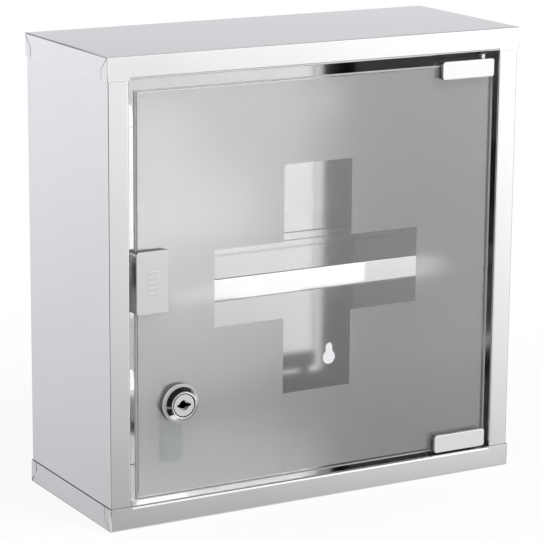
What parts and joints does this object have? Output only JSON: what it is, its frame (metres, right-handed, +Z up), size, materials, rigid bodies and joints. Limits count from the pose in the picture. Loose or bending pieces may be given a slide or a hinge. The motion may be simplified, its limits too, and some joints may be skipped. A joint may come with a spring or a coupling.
{
  "type": "lockable medicine cabinet",
  "caption": "Small square stainless steel wall cabinet with a shelf, a frosted glass door with a clear cross, pivot hinges, push latch and cam lock.",
  "frame": {"origin": "centre of the four keyhole entries, on the rear face of the back panel", "axes": "+Z up, +Y from the front of the cabinet into the wall, +X to the right as seen from the front (the hinge side)"},
  "size_m": [0.3, 0.124, 0.3],
  "materials": {
    "case_steel": "polished stainless sheet",
    "bush_nylon": "moulded nylon",
    "latch_white": "moulded",
    "latch_grey": "moulded",
    "magnet": "sintered",
    "zinc_steel": "bright zinc plated",
    "door_glass": "clear tempered, polished edges",
    "frosting": "satin",
    "pad_rubber": "matt",
    "clip_chrome": "satin chrome",
    "pin_steel": "ground",
    "lock_chrome": "bright chrome",
    "lock_ring": "translucent grey",
    "lock_face": "faced zinc"
  },
  "bodies": {
    "cabinet": {"top_cap": "case_steel", "bottom_cap": "case_steel", "left_side": "case_steel", "right_side": "case_steel", "back_panel": "case_steel", "shelf": "case_steel", "top_pivot_bush": "bush_nylon", "bottom_pivot_bush": "bush_nylon", "latch_bracket": "case_steel", "latch_body": "latch_white", "latch_screws": "zinc_steel", "latch_spring": "zinc_steel"},
    "door": {"door_glass": "door_glass", "door_frosting": "frosting", "hinge_clip_top": "clip_chrome", "hinge_clip_bottom": "clip_chrome", "hinge_pads_top": "pad_rubber", "hinge_pads_bottom": "pad_rubber", "hinge_pin_top": "pin_steel", "hinge_pin_bottom": "pin_steel", "hinge_grub_screws": "zinc_steel", "strike_plate": "clip_chrome", "strike_pads": "pad_rubber", "strike_grub_screws": "zinc_steel", "lock_housing": "lock_chrome", "lock_face_ring": "lock_ring", "lock_washer": "zinc_steel", "lock_nut": "zinc_steel"},
    "lock_core": {"lock_plug": "lock_face", "lock_cam": "zinc_steel", "lock_cam_washer": "zinc_steel", "lock_cam_screw": "zinc_steel"},
    "latch_core": {"latch_plunger": "latch_grey", "latch_magnet": "magnet"}
  },
  "joints": [
    {"name": "door_swing", "type": "hinge", "parent": "cabinet", "child": "door", "pos_m": [0.1238, -0.1147, 0.0027], "axis": [0, 0, 1], "range_deg": [0, 130]},
    {"name": "lock_turn", "type": "hinge", "parent": "door", "child": "lock_core", "pos_m": [-0.1, -0.1142, -0.0698], "axis": [0, 1, 0], "range_deg": [0, 90]},
    {"name": "latch_press", "type": "slide", "parent": "cabinet", "child": "latch_core", "axis": [0, 1, 0], "range_m": [0, 0.003], "stiffness_N_per_m": 300}
  ]
}
